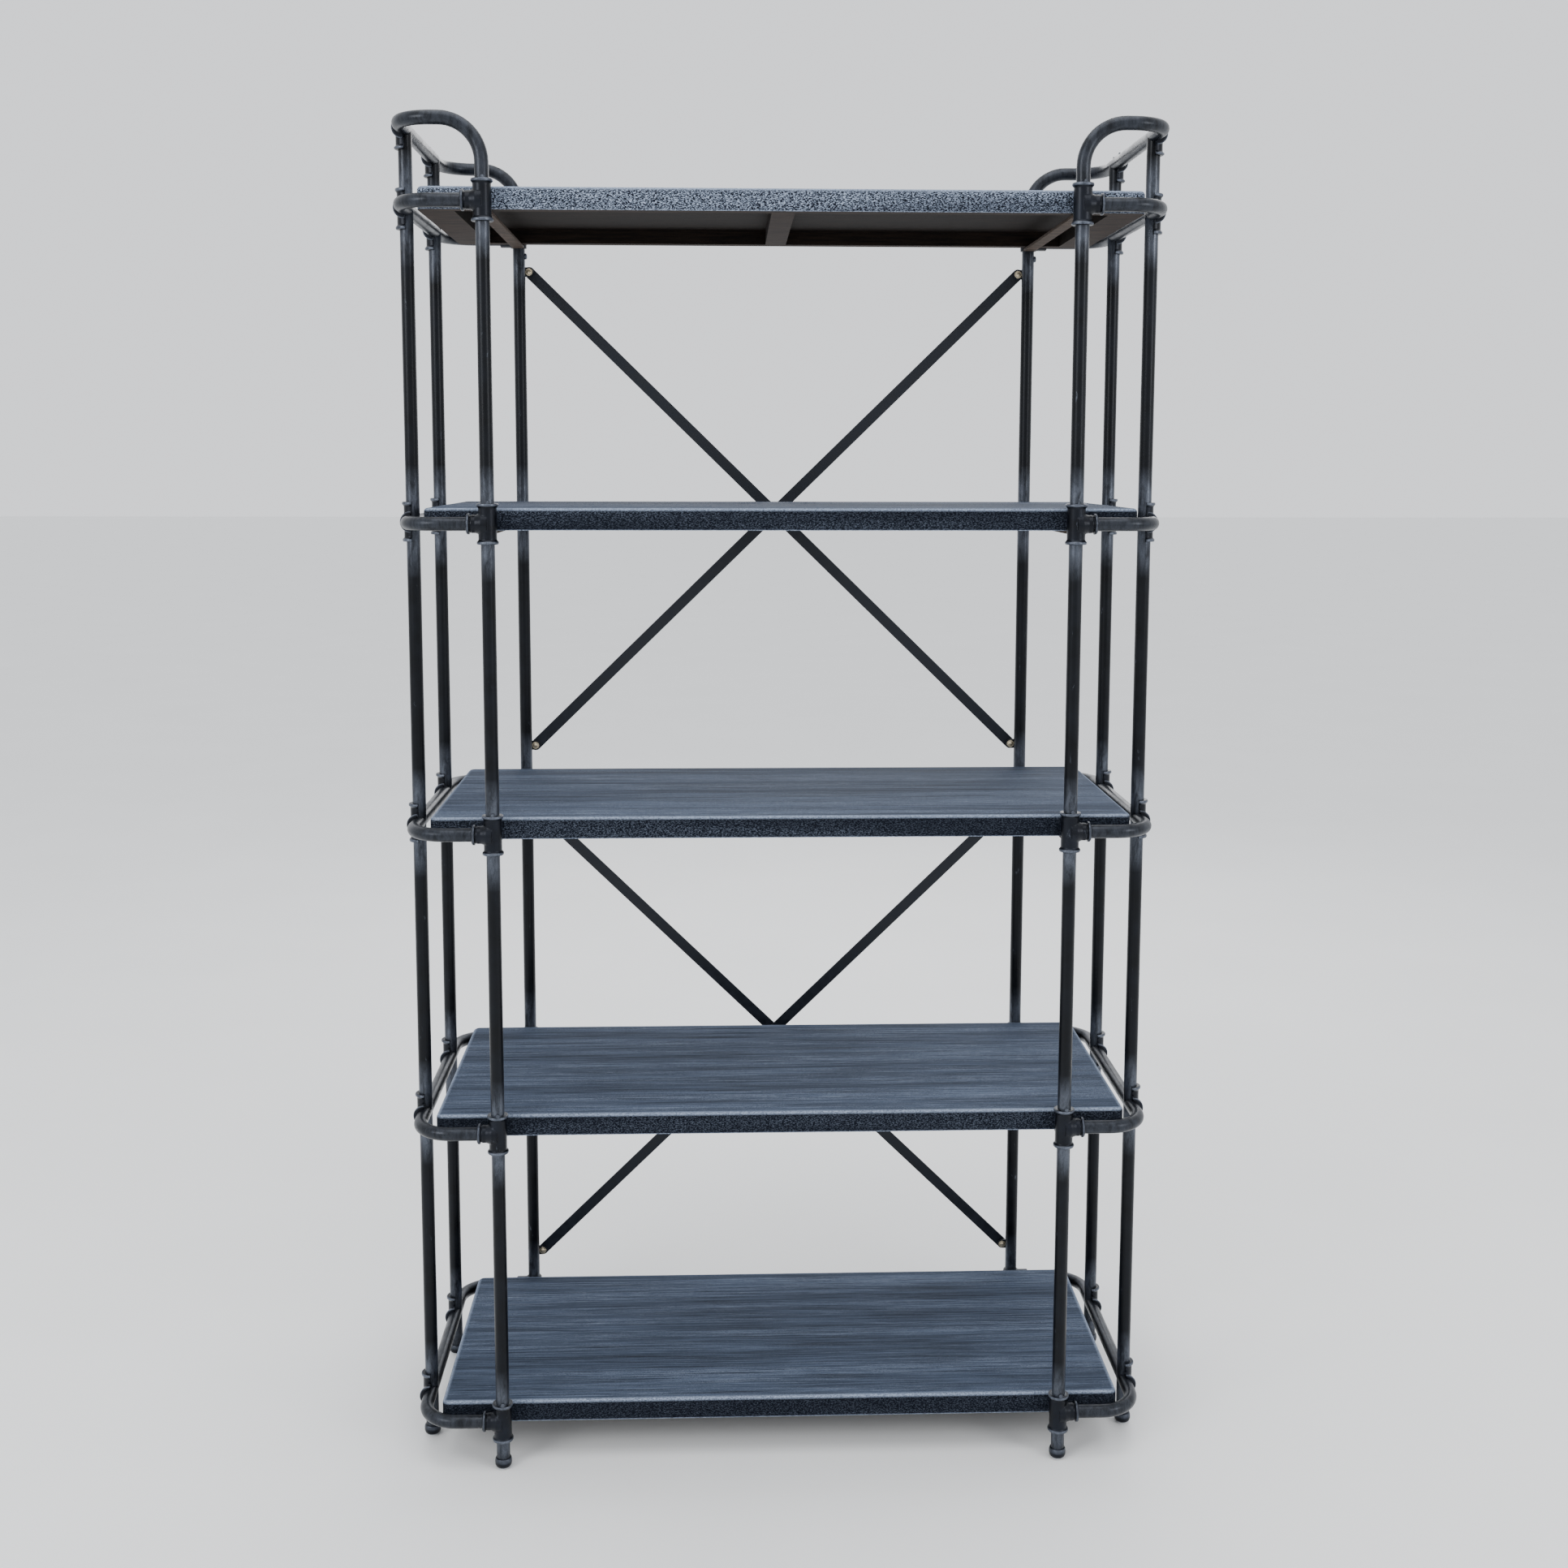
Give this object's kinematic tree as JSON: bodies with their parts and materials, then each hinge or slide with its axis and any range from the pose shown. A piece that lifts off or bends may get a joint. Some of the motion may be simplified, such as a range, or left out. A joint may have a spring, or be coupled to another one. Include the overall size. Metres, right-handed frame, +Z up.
{
  "type": "bookcase",
  "caption": "Open bookcase of welded pipe with bowed side rails, cast-look collars, loose shelf boards on flat ledgers and crossed flat braces at the back.",
  "frame": {"origin": "on the floor, under the middle of the bookcase", "axes": "+Z up, +X to the right as seen from the front, the front faces -Y"},
  "size_m": [1.0084, 0.4307, 1.8052],
  "materials": {
    "pipe_metal": "blackened pipe with a blue-grey sheen and rubbed silvery wear",
    "cast_collar": "blackened casting, silvery on the ring edges",
    "shelf_board": "slate-grey stained wood with lengthwise grain, silvery scuffed edges and a bare dark brown underside",
    "flat_bar": "satin blackened flat bar",
    "bolt": "zinc-plated bolt heads, slightly yellow",
    "foot_cap": "blackened rounded cap with a pale glide under it"
  },
  "bodies": {
    "frame": {"main_post_front_left": "pipe_metal", "outer_post_front_left": "pipe_metal", "main_foot_front_left": "foot_cap", "outer_foot_front_left": "foot_cap", "main_post_rear_left": "pipe_metal", "outer_post_rear_left": "pipe_metal", "main_foot_rear_left": "foot_cap", "outer_foot_rear_left": "foot_cap", "top_rail_left": "pipe_metal", "side_rail_1_left": "pipe_metal", "shelf_bracket_1_left": "cast_collar", "side_rail_2_left": "pipe_metal", "shelf_bracket_2_left": "cast_collar", "side_rail_3_left": "pipe_metal", "shelf_bracket_3_left": "cast_collar", "side_rail_4_left": "pipe_metal", "shelf_bracket_4_left": "cast_collar", "side_rail_5_left": "pipe_metal", "shelf_bracket_5_left": "cast_collar", "main_post_front_right": "pipe_metal", "outer_post_front_right": "pipe_metal", "main_foot_front_right": "foot_cap", "outer_foot_front_right": "foot_cap", "main_post_rear_right": "pipe_metal", "outer_post_rear_right": "pipe_metal", "main_foot_rear_right": "foot_cap", "outer_foot_rear_right": "foot_cap", "top_rail_right": "pipe_metal", "side_rail_1_right": "pipe_metal", "shelf_bracket_1_right": "cast_collar", "side_rail_2_right": "pipe_metal", "shelf_bracket_2_right": "cast_collar", "side_rail_3_right": "pipe_metal", "shelf_bracket_3_right": "cast_collar", "side_rail_4_right": "pipe_metal", "shelf_bracket_4_right": "cast_collar", "side_rail_5_right": "pipe_metal", "shelf_bracket_5_right": "cast_collar", "upper_brace_rising": "flat_bar", "upper_brace_falling": "flat_bar", "upper_brace_centre_bolt": "bolt", "upper_brace_bolt_top_left": "bolt", "upper_brace_bolt_bottom_left": "bolt", "upper_brace_bolt_top_right": "bolt", "upper_brace_bolt_bottom_right": "bolt", "lower_brace_rising": "flat_bar", "lower_brace_falling": "flat_bar", "lower_brace_centre_bolt": "bolt", "lower_brace_bolt_top_left": "bolt", "lower_brace_bolt_bottom_left": "bolt", "lower_brace_bolt_top_right": "bolt", "lower_brace_bolt_bottom_right": "bolt"},
    "shelf_1": {"shelf_board_1": "shelf_board"},
    "shelf_2": {"shelf_board_2": "shelf_board"},
    "shelf_3": {"shelf_board_3": "shelf_board"},
    "shelf_4": {"shelf_board_4": "shelf_board"},
    "shelf_5": {"shelf_board_5": "shelf_board"}
  },
  "joints": [
    {"name": "shelf_1_lift", "type": "slide", "parent": "frame", "child": "shelf_1", "axis": [0, 0, 1], "range_m": [0, 0.06]},
    {"name": "shelf_2_lift", "type": "slide", "parent": "frame", "child": "shelf_2", "axis": [0, 0, 1], "range_m": [0, 0.06]},
    {"name": "shelf_3_lift", "type": "slide", "parent": "frame", "child": "shelf_3", "axis": [0, 0, 1], "range_m": [0, 0.06]},
    {"name": "shelf_4_lift", "type": "slide", "parent": "frame", "child": "shelf_4", "axis": [0, 0, 1], "range_m": [0, 0.06]},
    {"name": "shelf_5_lift", "type": "slide", "parent": "frame", "child": "shelf_5", "axis": [0, 0, 1], "range_m": [0, 0.06]}
  ]
}
